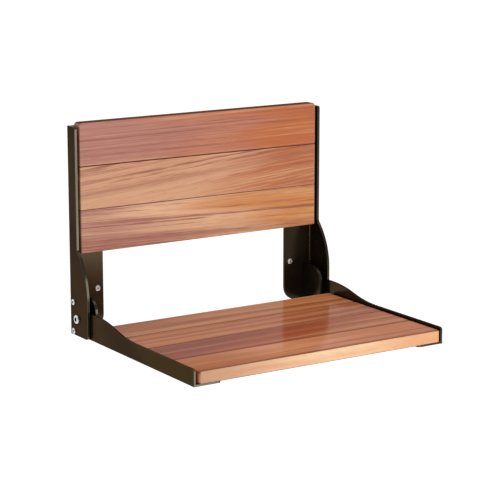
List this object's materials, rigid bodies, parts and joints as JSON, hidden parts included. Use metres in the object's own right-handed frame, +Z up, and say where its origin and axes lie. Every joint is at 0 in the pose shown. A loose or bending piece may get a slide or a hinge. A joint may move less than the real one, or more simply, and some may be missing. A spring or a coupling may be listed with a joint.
{
  "type": "wall-mounted folding shower seat",
  "caption": "Wall-mounted folding shower seat: wooden seat and back boards on dark steel angle brackets, with side arms that swing the seat up flat against the back.",
  "frame": {"origin": "on the wall plane, midway between the two visible wall-screw holes", "axes": "+X across the seat to the right as seen from the front, +Y into the wall, +Z up; the seat reaches out along -Y"},
  "size_m": [0.5096, 0.4049, 0.3711],
  "materials": {
    "bronze_paint": "satin oil-rubbed bronze coating on steel",
    "wood": "oiled reddish hardwood, satin",
    "stainless": "bright stainless",
    "nylon": "black nylon"
  },
  "bodies": {
    "wall_frame": {"left_wall_bracket": "bronze_paint", "right_wall_bracket": "bronze_paint", "left_hinge_ear": "bronze_paint", "right_hinge_ear": "bronze_paint", "left_stop_spacers": "bronze_paint", "right_stop_spacers": "bronze_paint", "left_hinge_screws": "stainless", "right_hinge_screws": "stainless", "left_pivot_bolt": "stainless", "right_pivot_bolt": "stainless", "left_outer_washer": "nylon", "right_outer_washer": "nylon", "left_inner_spacer": "nylon", "right_inner_spacer": "nylon", "left_back_screws": "stainless", "right_back_screws": "stainless", "back_board_top": "wood", "back_board_middle": "wood", "back_board_bottom": "wood"},
    "seat": {"left_seat_arm": "bronze_paint", "right_seat_arm": "bronze_paint", "left_pivot_bush": "nylon", "right_pivot_bush": "nylon", "left_seat_screws": "stainless", "right_seat_screws": "stainless", "seat_board_rear": "wood", "seat_board_rear_middle": "wood", "seat_board_front_middle": "wood", "seat_board_front": "wood"}
  },
  "joints": [
    {"name": "seat_fold", "type": "hinge", "parent": "wall_frame", "child": "seat", "pos_m": [0, -0.0245, -0.045], "axis": [-1, 0, 0], "range_deg": [0, 90]}
  ]
}
